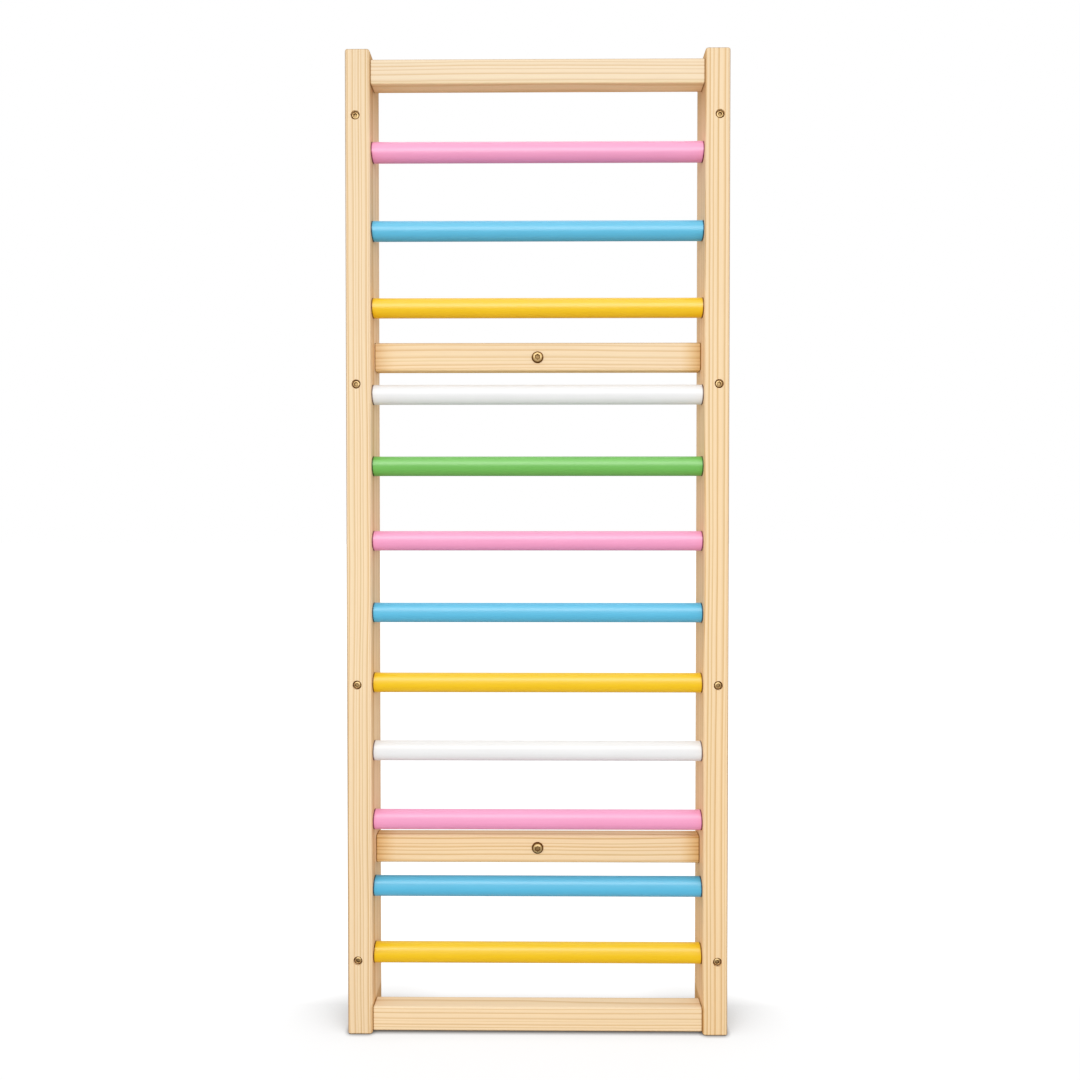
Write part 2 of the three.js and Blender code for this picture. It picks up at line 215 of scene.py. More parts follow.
class TimberSettings(bpy.types.PropertyGroup):
    """Planed pine of the posts and rails, and the beech of the dowels"""

    early_wood: FloatVectorProperty(
        name="Early wood", description="Pale wood between the growth lines",
        default=(0.878, 0.643, 0.408), subtype="COLOR", min=0, max=1,
    )
    late_wood: FloatVectorProperty(
        name="Late wood", description="Darker wood of the growth lines",
        default=(0.590, 0.340, 0.140), subtype="COLOR", min=0, max=1,
    )
    beech: FloatVectorProperty(
        name="Beech", description="Wood of the dowels",
        default=(0.69, 0.48, 0.29), subtype="COLOR", min=0, max=1,
    )
    post_edge: FloatProperty(
        name="Post edge", description="Radius of a post's long edges",
        default=0.0045, unit="LENGTH",
    )
    post_end: FloatProperty(
        name="Post end", description="Radius round a post's top and foot",
        default=0.0035, unit="LENGTH",
    )
    rail_edge: FloatProperty(
        name="Rail edge", description="Radius of a rail's long edges",
        default=0.003, unit="LENGTH",
    )
    rail_end: FloatProperty(
        name="Rail end", description="Ease round a rail's ends, where it meets the posts",
        default=0.001, unit="LENGTH",
    )
    socket_ease: FloatProperty(
        name="Socket ease", description="Chamfer at the mouth of a rung's socket",
        default=0.0003, unit="LENGTH",
    )


class PaintSettings(bpy.types.PropertyGroup):
    """Satin paints of the rungs"""

    pink: FloatVectorProperty(
        name="Pink", description="Pink paint",
        default=(0.885, 0.288, 0.492), subtype="COLOR", min=0, max=1,
    )
    blue: FloatVectorProperty(
        name="Blue", description="Sky blue paint",
        default=(0.082, 0.421, 0.678), subtype="COLOR", min=0, max=1,
    )
    yellow: FloatVectorProperty(
        name="Yellow", description="Yellow paint",
        default=(0.872, 0.480, 0.004), subtype="COLOR", min=0, max=1,
    )
    white: FloatVectorProperty(
        name="White", description="White paint",
        default=(0.795, 0.795, 0.795), subtype="COLOR", min=0, max=1,
    )
    green: FloatVectorProperty(
        name="Green", description="Leaf green paint",
        default=(0.130, 0.425, 0.074), subtype="COLOR", min=0, max=1,
    )
    gloss_roughness: FloatProperty(
        name="Roughness", description="Roughness of the dry paint",
        default=0.33, subtype="FACTOR", min=0, max=1,
    )


class BrassSettings(bpy.types.PropertyGroup):
    """Brass button-head bolts"""

    metal: FloatVectorProperty(
        name="Brass", description="Clean metal on the crown of a head",
        default=(0.66, 0.44, 0.20), subtype="COLOR", min=0, max=1,
    )
    # patina and painted shade: darker metal at the rim and in the key socket
    tarnish: FloatVectorProperty(
        name="Tarnish", description="Darker metal at the rim and in the socket",
        default=(0.105, 0.046, 0.009), subtype="COLOR", min=0, max=1,
    )
    post_shank: FloatProperty(
        name="Post bolt", description="Shank diameter of the bolts in the posts",
        default=0.008, unit="LENGTH",
    )
    rail_shank: FloatProperty(
        name="Rail bolt", description="Shank diameter of the bolts in the wall rails",
        default=0.012, unit="LENGTH",
    )
    post_head: FloatProperty(
        name="Post head", description="Height of a post bolt's head",
        default=0.0044, unit="LENGTH",
    )
    rail_head: FloatProperty(
        name="Rail head", description="Height of a rail bolt's head",
        default=0.006, unit="LENGTH",
    )
    post_hexagon: FloatProperty(
        name="Post hexagon", description="Width of a post bolt's key socket across its flats",
        default=0.006, unit="LENGTH",
    )
    rail_hexagon: FloatProperty(
        name="Rail hexagon", description="Width of a rail bolt's key socket across its flats",
        default=0.008, unit="LENGTH",
    )
    hexagon_depth: FloatProperty(
        name="Hexagon depth", description="Depth of the key sockets",
        default=0.0026, unit="LENGTH",
    )


class StageSettings(bpy.types.PropertyGroup):
    """Floor, light and camera"""

    floor: FloatVectorProperty(
        name="Floor", description="Colour of the floor",
        default=(0.98, 0.98, 0.98), subtype="COLOR", min=0, max=1,
    )
    bounce: FloatProperty(
        name="Bounce", description="Share of the light on the floor that it throws back up",
        default=0.485, subtype="FACTOR", min=0, max=1,
    )
    glow: FloatProperty(
        name="Glow", description="Light added to the floor behind the bars, where it fades into the wall",
        default=0.3, min=0,
    )
    fill: FloatProperty(
        name="Fill light", description="Strength of the light from all round",
        default=0.702, min=0,
    )
    front_light: FloatProperty(
        name="Front light", description="Strength of the broad soft light from the front and above",
        default=0.32, min=0,
    )
    front_height: FloatProperty(
        name="Front light height", description="Height of the front light's middle over the horizon",
        default=math.radians(76.6), subtype="ANGLE",
    )
    box_light: FloatProperty(
        name="Soft box", description="Brightness of the wide soft box behind the camera",
        default=1.675, min=0,
    )
    box_place: FloatVectorProperty(
        name="Soft box place", description="Middle of the soft box",
        default=(0, -2.126, 1.36), unit="LENGTH", subtype="TRANSLATION",
    )
    box_size: FloatVectorProperty(
        name="Soft box size", description="Width and height of the soft box",
        default=(4.0, 2.2), unit="LENGTH", size=2,
    )
    strip_light: FloatProperty(
        name="Strip", description="Brightness of the strip that draws the sheen along the rungs",
        default=7.6, min=0,
    )
    strip_place: FloatVectorProperty(
        name="Strip place", description="Middle of the strip",
        default=(0, -0.95, 1.55), unit="LENGTH", subtype="TRANSLATION",
    )
    strip_size: FloatVectorProperty(
        name="Strip size", description="Width and height of the strip",
        default=(1.6, 0.7), unit="LENGTH", size=2,
    )
    ceiling_light: FloatProperty(
        name="Ceiling", description="Brightness of the white ceiling that the rungs mirror",
        default=2.6, min=0,
    )
    ceiling_place: FloatVectorProperty(
        name="Ceiling place", description="Middle of the ceiling",
        default=(0, -0.4, 3.0), unit="LENGTH", subtype="TRANSLATION",
    )
    ceiling_size: FloatVectorProperty(
        name="Ceiling size", description="Width and depth of the ceiling",
        default=(5.0, 2.8), unit="LENGTH", size=2,
    )
    back_light: FloatProperty(
        name="Back light", description="Brightness of the panel that lights the rungs' tops from behind",
        default=1.8, min=0,
    )
    back_place: FloatVectorProperty(
        name="Back light place", description="Middle of the back light",
        default=(0, 2.3, 3.4), unit="LENGTH", subtype="TRANSLATION",
    )
    back_size: FloatVectorProperty(
        name="Back light size", description="Width and depth of the back light",
        default=(4.0, 2.2), unit="LENGTH", size=2,
    )
    glint_light: FloatProperty(
        name="Glint", description="Brightness of the panel that the bolts mirror",
        default=1.65, min=0,
    )
    glint_place: FloatVectorProperty(
        name="Glint place", description="Middle of the panel that the bolts mirror",
        default=(0, -1.4, 2.1), unit="LENGTH", subtype="TRANSLATION",
    )
    glint_size: FloatVectorProperty(
        name="Glint size", description="Width and height of the panel that the bolts mirror",
        default=(4.0, 4.2), unit="LENGTH", size=2,
    )
    lens: FloatProperty(
        name="Lens", description="Focal length on a 36 mm wide sensor",
        default=27.167, unit="CAMERA",
    )
    eye: FloatVectorProperty(
        name="Camera place", description="Where the camera stands",
        default=(0.01435, -1.38256, 0.84409), unit="LENGTH", subtype="TRANSLATION",
    )
    pitch: FloatProperty(
        name="Pitch", description="How far the camera looks down",
        default=math.radians(0.863), subtype="ANGLE",
    )
    yaw: FloatProperty(
        name="Yaw", description="How far the camera looks to the left",
        default=math.radians(0.426), subtype="ANGLE",
    )


class WallBarsSettings(bpy.types.PropertyGroup):
    """All that a user would change"""

    timber: PointerProperty(type=TimberSettings)
    paint: PointerProperty(type=PaintSettings)
    brass: PointerProperty(type=BrassSettings)
    stage: PointerProperty(type=StageSettings)


def extent(node):
    """Lowest and highest corner of a node as two arrays."""
    low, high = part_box(node)
    return np.array(low), np.array(high)


def cross_axes(axis):
    """The two axes across an axis, in right-handed order."""
    return (axis + 1) % 3, (axis + 2) % 3


def place(u, v, w, axis):
    """Points of the frame from two coordinates across an axis and one along it."""
    first, second = cross_axes(axis)
    points = np.empty(np.broadcast(u, v, w).shape + (3,))
    points[..., first] = u
    points[..., second] = v
    points[..., axis] = w
    return points


def turned_rings(radii, stations, centre, axis, sides):
    """A turned surface: a circle of each radius about the axis at each station along it.

    centre is any point of the axis.
    """
    angle = np.linspace(0, 2 * np.pi, sides, endpoint=False)
    first, second = cross_axes(axis)
    radius = np.asarray(radii, float)[:, None]
    station = np.asarray(stations, float)[:, None]
    u = centre[first] + radius * np.cos(angle)
    v = centre[second] + radius * np.sin(angle)
    return place(u, v, station, axis)


def bar_rings(low, high, axis, edge, end):
    """A planed bar: a rectangle with round corners carried along an axis.

    The corners are quarter circles of radius edge. Towards both ends the rectangle draws in by
    end * (1 - cos t) while it advances by end * (1 - sin t), so the end edges are quarter circles too.
    """
    first, second = cross_axes(axis)
    middle = (low + high) / 2
    half = (high - low) / 2
    quarter = np.linspace(0, np.pi / 2, EDGE_STEPS + 1)

    draw_in = np.concatenate(([end + SUPPORT], end * (1 - np.cos(quarter[::-1])), [0]))
    advance = np.concatenate(([0], end * (1 - np.sin(quarter[::-1])), [end + SUPPORT]))
    inset = np.concatenate((draw_in, draw_in[::-1]))[:, None]
    station = np.concatenate((low[axis] + advance, high[axis] - advance[::-1]))[:, None]

    corner = np.arange(4)[:, None] * np.pi / 2
    turn = (corner + np.concatenate(([0], quarter, [np.pi / 2]))).ravel()
    slide = np.tile(np.concatenate(([-SUPPORT], np.zeros(EDGE_STEPS + 1), [SUPPORT])), 4)
    side_u = np.repeat([1, -1, -1, 1], EDGE_STEPS + 3)
    side_v = np.repeat([1, 1, -1, -1], EDGE_STEPS + 3)
    radius = edge - inset
    u = middle[first] + side_u * (half[first] - edge) + radius * np.cos(turn) - slide * np.sin(turn)
    v = middle[second] + side_v * (half[second] - edge) + radius * np.sin(turn) + slide * np.cos(turn)
    return place(u, v, station, axis)


def on_dome(radius, head, crown, dome):
    """Station of a bolt head's dome at a radius from its axis."""
    return crown + dome - dome * np.sqrt(np.clip(1 - (radius / head) ** 2, 0, 1))


def bolt_rings(node, shank, head_height, hexagon, hexagon_depth, clean, key_floor):
    """A button-head bolt along Y, from the floor of its key socket over the dome to its tip.

    The dome is an ellipse turned about the axis: its height over the rim at radius p is
    dome * sqrt(1 - (p / R)^2). The socket's radius at angle t is that of a hexagon, apothem / cos(t'),
    with t' the angle from the nearest flat, and it blends into circles as the rings move outwards.
    Each ring comes with its darkness, from patina and painted shade: clean on the crown, key_floor in the
    middle of the key socket's floor, and 1 on the socket's walls and at the rim.
    """
    low, high = extent(node)
    centre = (low + high) / 2
    head = (high[ALONG_X] - low[ALONG_X]) / 2
    dome = head_height * (1 - BOLT_RIM_SHARE)
    crown = low[ALONG_Y]
    seat = crown + head_height

    angle = np.linspace(0, 2 * np.pi, BOLT_SIDES, endpoint=False)
    to_flat = np.mod(angle, np.pi / 3) - np.pi / 6
    six_sided = hexagon / 2 / np.cos(to_flat)
    mouth = six_sided + KEY_CHAMFER
    floor = on_dome(six_sided, head, crown, dome).min() + hexagon_depth
    lip = on_dome(mouth, head, crown, dome)

    rings = [
        (six_sided * KEY_FLOOR_SHARE, floor, key_floor),
        (six_sided, floor, 1.0),
        (six_sided, lip + KEY_CHAMFER, 1.0),
        (mouth, lip, clean),
    ]
    for share in np.linspace(0, 1, DOME_STEPS + 1)[1:]:
        round_radius = head * np.sin(share * np.pi / 2)
        radius = np.clip(mouth * (1 - share) + round_radius * share, mouth, head)
        tarnish = np.interp(radius / head, (DARK_RIM_START, DARK_RIM_FULL), (clean, 1))
        rings.append((radius, on_dome(radius, head, crown, dome), tarnish))
    rings += [
        (head, seat - RIM_EASE, 1.0),
        (head - RIM_EASE, seat, 1.0),
        (shank / 2, seat, 1.0),
        (shank / 2, high[ALONG_Y] - BOLT_TIP, 1.0),
        (shank / 2 - BOLT_TIP, high[ALONG_Y], 1.0),
    ]
    rows = [[np.broadcast_to(value, angle.shape) for value in ring] for ring in rings]
    radii, stations, tarnish = np.array(rows).swapaxes(0, 1)
    first, second = cross_axes(ALONG_Y)
    u = centre[first] + radii * np.cos(angle)
    v = centre[second] + radii * np.sin(angle)
    return place(u, v, stations, ALONG_Y), tarnish


def skin(name, ring_sets):
    """A mesh of closed surfaces, each a stack of rings joined by quads and capped at both ends."""
    points = []
    faces = []
    start = 0
    for rings in ring_sets:
        stations, around = rings.shape[:2]
        index = start + np.arange(stations * around).reshape(stations, around)
        ahead = np.roll(index, -1, axis=1)
        quads = np.stack((index[:-1], ahead[:-1], ahead[1:], index[1:]), axis=-1)
        faces += quads.reshape(-1, 4).tolist()
        faces.append(index[0, ::-1].tolist())
        faces.append(index[-1].tolist())
        points.append(rings.reshape(-1, 3))
        start += stations * around
    mesh = bpy.data.meshes.new(name)
    mesh.from_pydata(np.concatenate(points).tolist(), [], faces)
    mesh.validate()
    return mesh


def bore(mesh, cutter_rings):
    """The mesh with each closed cutter surface taken out of it."""
    body = bpy.data.objects.new("bored", mesh)
    cutter = bpy.data.objects.new("cutter", skin("cutter", cutter_rings))
    for item in (body, cutter):
        bpy.context.scene.collection.objects.link(item)
    cut = body.modifiers.new("bore", "BOOLEAN")
    cut.operation = "DIFFERENCE"
    cut.solver = "EXACT"
    cut.object = cutter
    seen = body.evaluated_get(bpy.context.evaluated_depsgraph_get())
    bored = bpy.data.meshes.new_from_object(seen)
    bored.name = mesh.name
    for item in (body, cutter):
        data = item.data
        bpy.data.objects.remove(item)
        bpy.data.meshes.remove(data)
    return bored


def dress(name, mesh, material, node):
    """Shows a finished mesh in place of a node."""
    mesh.shade_smooth()
    mesh.set_sharp_from_angle(angle=SHARP_ANGLE)
    mesh.materials.clear()
    mesh.materials.append(material)
    piece = bpy.data.objects.new(name, mesh)
    bpy.context.scene.collection.objects.link(piece)
    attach(piece, BODY)
    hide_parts(node)
    return piece


def rung_socket(rung, inner_x, outward, ease):
    """Cutter of the blind socket for one end of a rung, flared at its mouth in the post's inner face."""
    low, high = extent(rung)
    radius = (high[ALONG_Z] - low[ALONG_Z]) / 2 + FIT_GAP
    floor = (high[ALONG_X] if outward > 0 else low[ALONG_X]) + outward * FIT_GAP
    flare = radius + ease
    radii = [radius, radius, flare, flare]
    stations = [floor, inner_x + outward * ease, inner_x, inner_x - outward * OVERCUT]
    return inward_rings(radii, stations, (low + high) / 2, outward)


def dowel_hole(dowel, mouth_x, outward):
    """Cutter of the hole for one end of a dowel.

    outward is 1 or -1, the way along X from the hole's mouth to its floor.
    """
    low, high = extent(dowel)
    radius = (high[ALONG_Z] - low[ALONG_Z]) / 2 + FIT_GAP
    floor = (high[ALONG_X] if outward > 0 else low[ALONG_X]) + outward * FIT_GAP
    return inward_rings([radius, radius], [floor, mouth_x - outward * OVERCUT], (low + high) / 2, outward)


def inward_rings(radii, stations, centre, outward):
    """Rings along X listed from a hole's floor to its mouth, put in rising order so that they face out."""
    if outward > 0:
        radii = radii[::-1]
        stations = stations[::-1]
    return turned_rings(radii, stations, centre, ALONG_X, HOLE_SIDES)


def bolt_hole(bolt, board, shank, head_height):
    """Cutter of a bolt's hole through a board, with a counterbore where its head is sunk in the face."""
    low, high = extent(bolt)
    front_y, back_y = (corner[ALONG_Y] for corner in extent(board))
    hole = shank / 2 + FIT_GAP
    seat = low[ALONG_Y] + head_height + FIT_GAP
    radii = [hole, hole]
    stations = [front_y - OVERCUT, back_y + OVERCUT]
    if low[ALONG_Y] > front_y:
        head = (high[ALONG_X] - low[ALONG_X]) / 2 + HEAD_GAP
        radii = [head, head, hole, hole]
        stations = [front_y - OVERCUT, seat, seat, back_y + OVERCUT]
    return turned_rings(radii, stations, (low + high) / 2, ALONG_Y, HOLE_SIDES)


def add(tree, kind, inputs=None, **settings):
    """A shader node: a socket among its inputs is linked, anything else is set as the input's value."""
    made = tree.nodes.new(kind)
    for name, value in settings.items():
        setattr(made, name, value)
    for name, value in (inputs or {}).items():
        if isinstance(value, bpy.types.NodeSocket):
            tree.links.new(value, made.inputs[name])
        else:
            made.inputs[name].default_value = value
    return made


def calculate(tree, operation, *values):
    """The result of a Math node on numbers or sockets."""
    return add(tree, "ShaderNodeMath", dict(enumerate(values)), operation=operation).outputs[0]


def remap(tree, value, low, high, to_low, to_high):
    """A value carried from one range to another."""
    limits = {"Value": value, "From Min": low, "From Max": high, "To Min": to_low, "To Max": to_high}
    return add(tree, "ShaderNodeMapRange", limits).outputs[0]


def stretched(tree, vector, scale):
    """A vector with each coordinate multiplied by its own factor."""
    inputs = {0: vector, 1: scale}
    return add(tree, "ShaderNodeVectorMath", inputs, operation="MULTIPLY").outputs[0]


def noise(tree, vector, detail=2.0, roughness=0.5):
    """Noise about one unit across in the given coordinates."""
    inputs = {"Vector": vector, "Scale": 1.0, "Detail": detail, "Roughness": roughness}
    return add(tree, "ShaderNodeTexNoise", inputs)


def figured(tree, vector, colour, figure):
    """A colour made lighter and darker by a noise, and the noise itself."""
    value = noise(tree, stretched(tree, vector, figure.scale), figure.detail, figure.roughness).outputs[0]
    return shade(tree, colour, remap(tree, value, *figure.span, *figure.tones)), value


def blend(tree, factor, first, second):
    """A colour between two, by the factor."""
    made = add(tree, "ShaderNodeMix", data_type="RGBA")
    for index, value in zip(MIX_INPUTS, (factor, first, second)):
        if isinstance(value, bpy.types.NodeSocket):
            tree.links.new(value, made.inputs[index])
        else:
            made.inputs[index].default_value = value
    return made.outputs[MIX_RESULT]


def shade(tree, colour, amount):
    """A colour made lighter or darker by an amount near 1."""
    inputs = {0: colour, "Scale": amount}
    return add(tree, "ShaderNodeVectorMath", inputs, operation="SCALE").outputs[0]


def rgba(colour):
    """An opaque colour."""
    return (*colour, 1.0)


def new_material(name):
    """An empty material with its shader, as (material, node tree, shader)."""
    material = bpy.data.materials.new(name)
    material.use_nodes = True
    tree = material.node_tree
    tree.nodes.clear()
    shader = add(tree, "ShaderNodeBsdfPrincipled")
    output = add(tree, "ShaderNodeOutputMaterial")
    tree.links.new(shader.outputs[0], output.inputs["Surface"])
    return material, tree, shader


def relief(tree, shader, height, strength, depth):
    """Gives a finish fine bumps of the given height."""
    bump = add(tree, "ShaderNodeBump", {"Strength": strength, "Distance": depth, "Height": height})
    tree.links.new(bump.outputs[0], shader.inputs["Normal"])


def grain_coordinates(tree, place_of, axis, heart):
    """Object coordinates with Z along the grain and the heart of the tree on the Z axis."""
    turn = (0, -math.pi / 2, 0) if axis == ALONG_X else (0, 0, 0)
    inputs = {"Vector": place_of, "Location": heart, "Rotation": turn}
    return add(tree, "ShaderNodeMapping", inputs).outputs[0]


def swayed(tree, vector, scale, amount):
    """A vector pushed about by noise of the given scale, by up to half the amount each way."""
    sway = noise(tree, stretched(tree, vector, scale)).outputs["Color"]
    sway = add(tree, "ShaderNodeVectorMath", {0: sway, 1: (-0.5, -0.5, -0.5)}, operation="ADD").outputs[0]
    inputs = {0: vector, 1: shade(tree, sway, amount)}
    return add(tree, "ShaderNodeVectorMath", inputs, operation="ADD").outputs[0]


def late_wood(tree, grain, board):
    """How much late wood shows: rings about the heart, each darkening slowly and then ending at once."""
    bent = swayed(tree, swayed(tree, grain, LONG_BEND, LONG_BEND_BY), SHORT_BEND, SHORT_BEND_BY)
    flat = stretched(tree, bent, (1.0, 1.0, 0.0))
    from_heart = add(tree, "ShaderNodeVectorMath", {0: flat}, operation="LENGTH").outputs["Value"]
    years = calculate(tree, "DIVIDE", from_heart, board.spacing)
    uneven = add(tree, "ShaderNodeTexNoise", {"W": years, **UNEVEN_YEARS}, noise_dimensions="1D")
    shift = remap(tree, uneven.outputs[0], *NOISE_SPAN, -UNEVEN_BY, UNEVEN_BY)
    years = calculate(tree, "ADD", years, shift)
    season = calculate(tree, "FRACT", years)
    year = calculate(tree, "FLOOR", years)
    strength = add(tree, "ShaderNodeTexWhiteNoise", {"W": year}, noise_dimensions="1D").outputs["Value"]
    ramp = add(tree, "ShaderNodeValToRGB", {"Fac": season})
    stops = ramp.color_ramp.elements
    stops[0].position, stops[1].position = SEASON[0][0], SEASON[-1][0]
    stops[0].color = stops[1].color = (0, 0, 0, 1)
    for position, value in SEASON[1:-1]:
        stops.new(position).color = (value, value, value, 1)
    strength = remap(tree, strength, 0, 1, WEAKEST_RING * board.contrast, board.contrast)
    return calculate(tree, "MULTIPLY", ramp.outputs[0], strength)


def depth_inside(tree, coordinate, low, high):
    """How far a coordinate lies inside a span."""
    off = calculate(tree, "ABSOLUTE", calculate(tree, "SUBTRACT", coordinate, (low + high) / 2))
    return calculate(tree, "SUBTRACT", (high - low) / 2, off)


def line(tree, distance, span):
    """1 where a distance is below a span, fading to 0 across it."""
    return remap(tree, distance, *span, 1.0, 0.0)


def tinted(tree, factor, colour, tint):
    """A colour with its red, green and blue multiplied by the tint, as far as the factor says."""
    return blend(tree, factor, colour, stretched(tree, colour, tint))


def beside_face(tree, point, low, high, edge):
    """1 on the front and back faces and most of their rounded edges, fading to 0 where the edges end."""
    from_face = depth_inside(tree, point[ALONG_Y], low[ALONG_Y], high[ALONG_Y])
    return line(tree, from_face, (EDGE_SHADE_SHARE * edge, edge))


def rail_marks(tree, colour, name, point, low, high, edge):
    """A rail's colour with its painted shade towards the posts, painted shade at its ends and on two of its
    long edges.
    """
    for strength, end, inward in zip(RAIL_SHADE.get(name, ()), (low[ALONG_X], high[ALONG_X]), (1, -1)):
        from_post = calculate(tree, "MULTIPLY", calculate(tree, "SUBTRACT", point[ALONG_X], end), inward)
        near = remap(tree, from_post, 0.0, RAIL_SHADE_REACH, strength, 0.0)
        colour = tinted(tree, near, colour, RAIL_SHADE_TINT)
    # painted shade in the joint at both ends of the rail
    from_end = depth_inside(tree, point[ALONG_X], low[ALONG_X], high[ALONG_X])
    colour = tinted(tree, line(tree, from_end, SEAM_LINE), colour, SEAM_TINT)

    # painted shade on two of the rail's long rounded edges
    middle = (low + high) / 2
    offsets = [calculate(tree, "SUBTRACT", point[k], middle[k]) for k in (ALONG_Y, ALONG_Z)]
    side = "LESS_THAN" if BOARDS[name].worn > 0 else "GREATER_THAN"
    edge_shade = calculate(tree, side, calculate(tree, "MULTIPLY", *offsets), 0.0)
    from_top = depth_inside(tree, point[ALONG_Z], low[ALONG_Z], high[ALONG_Z])
    edge_shade = calculate(tree, "MULTIPLY", edge_shade, line(tree, from_top, EDGE_LINE))
    edge_shade = calculate(tree, "MULTIPLY", edge_shade, beside_face(tree, point, low, high, edge))
    return tinted(tree, edge_shade, colour, RAIL_EDGE_TINT)


def post_marks(tree, colour, point, facing, low, high, edge):
    """A post's colour with the painted shade on its inner side beside the outer rails, and on its rounded
    outer edges.
    """
    inner_side = calculate(tree, "MULTIPLY", facing[ALONG_X], 1.0 if low[ALONG_X] < 0 else -1.0)
    for rail, reach in POST_SHADE.items():
        rail_low, rail_high = extent(rail)
        from_rail = depth_inside(tree, point[ALONG_Z], rail_low[ALONG_Z], rail_high[ALONG_Z])
        near = remap(tree, from_rail, -reach, 0.0, 0.0, 1.0)
        colour = tinted(tree, calculate(tree, "MULTIPLY", near, inner_side), colour, POST_SHADE_TINT)

    # painted shade on the post's rounded outer edges, and round its top and foot
    outer = max(abs(low[ALONG_X]), abs(high[ALONG_X]))
    from_outside = calculate(tree, "SUBTRACT", outer, calculate(tree, "ABSOLUTE", point[ALONG_X]))
    from_top = depth_inside(tree, point[ALONG_Z], low[ALONG_Z], high[ALONG_Z])
    edge_shade = line(tree, calculate(tree, "MINIMUM", from_top, from_outside), EDGE_LINE)
    edge_shade = calculate(tree, "MULTIPLY", edge_shade, beside_face(tree, point, low, high, edge))
    return tinted(tree, edge_shade, colour, EDGE_TINT)


def pine(name, timber, axis, low, high, edge):
    """Planed pine: growth rings about a heart that lies outside the board, with fibres along the grain.

    Its sides and undersides, and the tops of some rails, have tints of painted light and shade. The rounded
    edges have painted shade where they run into the outer faces, and a rail has painted shade at its ends,
    where it meets the posts.
    The wood is also shaded towards the corners between rails and posts.
    """
    board = BOARDS[name]
    material, tree, shader = new_material(f"{name}_pine")
    coordinates = add(tree, "ShaderNodeTexCoord")
    point = add(tree, "ShaderNodeSeparateXYZ", {0: coordinates.outputs["Object"]}).outputs
    facing = add(tree, "ShaderNodeSeparateXYZ", {0: coordinates.outputs["Normal"]}).outputs
    grain = grain_coordinates(tree, coordinates.outputs["Object"], axis, board.heart)
    late = late_wood(tree, grain, board)
    hue = noise(tree, stretched(tree, grain, HUE_SCALE), HUE_DETAIL).outputs[0]

    colour = blend(tree, late, rgba(timber.early_wood), rgba(timber.late_wood))
    colour, fibre = figured(tree, grain, colour, FIBRE)
    for figure in (STREAK, PATCH):
        colour = figured(tree, grain, colour, figure)[0]
    colour = shade(tree, colour, board.paleness)
    amber = {}
    for channel, share in enumerate(AMBER):
        factors = [1 - share * warmth for warmth in board.warmth]
        amber[channel] = remap(tree, point[axis], low[axis], high[axis], *factors)
    colour = stretched(tree, colour, add(tree, "ShaderNodeCombineXYZ", amber).outputs[0])
    for span, tint in ((PALER_SPAN, PALER), (RUDDIER_SPAN, RUDDIER)):
        colour = tinted(tree, remap(tree, hue, *span, 0.0, 1.0), colour, tint)

    # painted light and shade by the way a face turns: sides lighter, undersides warmer, some rail tops
    # retinted
    colour = tinted(tree, calculate(tree, "ABSOLUTE", facing[ALONG_X]), colour, SIDE_LIGHT_TINT)
    colour = tinted(tree, calculate(tree, "MULTIPLY", facing[ALONG_Z], -1.0), colour, UNDER_SHADE_TINT)
    if name in TOP_LIGHT_TINTS:
        colour = tinted(tree, calculate(tree, "MAXIMUM", facing[ALONG_Z], 0.0), colour, TOP_LIGHT_TINTS[name])

    if axis == ALONG_X:
        colour = rail_marks(tree, colour, name, point, low, high, edge)
    else:
        colour = post_marks(tree, colour, point, facing, low, high, edge)
    tree.links.new(colour, shader.inputs["Base Color"])

    tree.links.new(remap(tree, late, 0, 1, *PINE_ROUGHNESS), shader.inputs["Roughness"])
    relief(tree, shader, calculate(tree, "MULTIPLY_ADD", late, LATE_RIDGE, fibre), *PINE_RELIEF)
    shader.inputs["Specular IOR Level"].default_value = PINE_SPECULAR
    return material


def beech(timber):
    """Turned beech: a plain even wood with short dark flecks along the grain."""
    material, tree, shader = new_material("beech")
    place_of = add(tree, "ShaderNodeTexCoord").outputs["Object"]
    colour, fleck = figured(tree, place_of, tuple(timber.beech), FLECK)
    tree.links.new(colour, shader.inputs["Base Color"])
    relief(tree, shader, fleck, *BEECH_RELIEF)
    shader.inputs["Roughness"].default_value = BEECH_ROUGHNESS
    return material


def satin_paint(name, colour, roughness, joint):
    """Satin paint on a turned rung: long brush and grain lines show faintly through an even coat.

    The coat ends in a dark line of painted shade and grime at the joint, the distance from the middle at
    which a rung enters the posts.
    """
    material, tree, shader = new_material(name)
    place_of = add(tree, "ShaderNodeTexCoord").outputs["Object"]
    coat, lines = figured(tree, place_of, tuple(colour), BRUSH_LINE)
    coat, cloud = figured(tree, place_of, coat, CLOUD)
    along = add(tree, "ShaderNodeSeparateXYZ", {0: place_of}).outputs[ALONG_X]
    # painted shade and grime where the rung enters a post
    joint_grime_and_shade = line(tree, depth_inside(tree, along, -joint, joint), SOCKET_LINE)
    tree.links.new(tinted(tree, joint_grime_and_shade, coat, SOCKET_TINT), shader.inputs["Base Color"])
    sheen = (roughness - ROUGHNESS_SWAY, roughness + ROUGHNESS_SWAY)
    tree.links.new(remap(tree, cloud, *NOISE_SPAN, *sheen), shader.inputs["Roughness"])
    peel = noise(tree, stretched(tree, place_of, PEEL_SCALE), PEEL_DETAIL).outputs[0]
    relief(tree, shader, calculate(tree, "MULTIPLY_ADD", lines, BRUSH_RIDGE, peel), *PAINT_RELIEF)
    shader.inputs["Specular IOR Level"].default_value = PAINT_SPECULAR
    return material


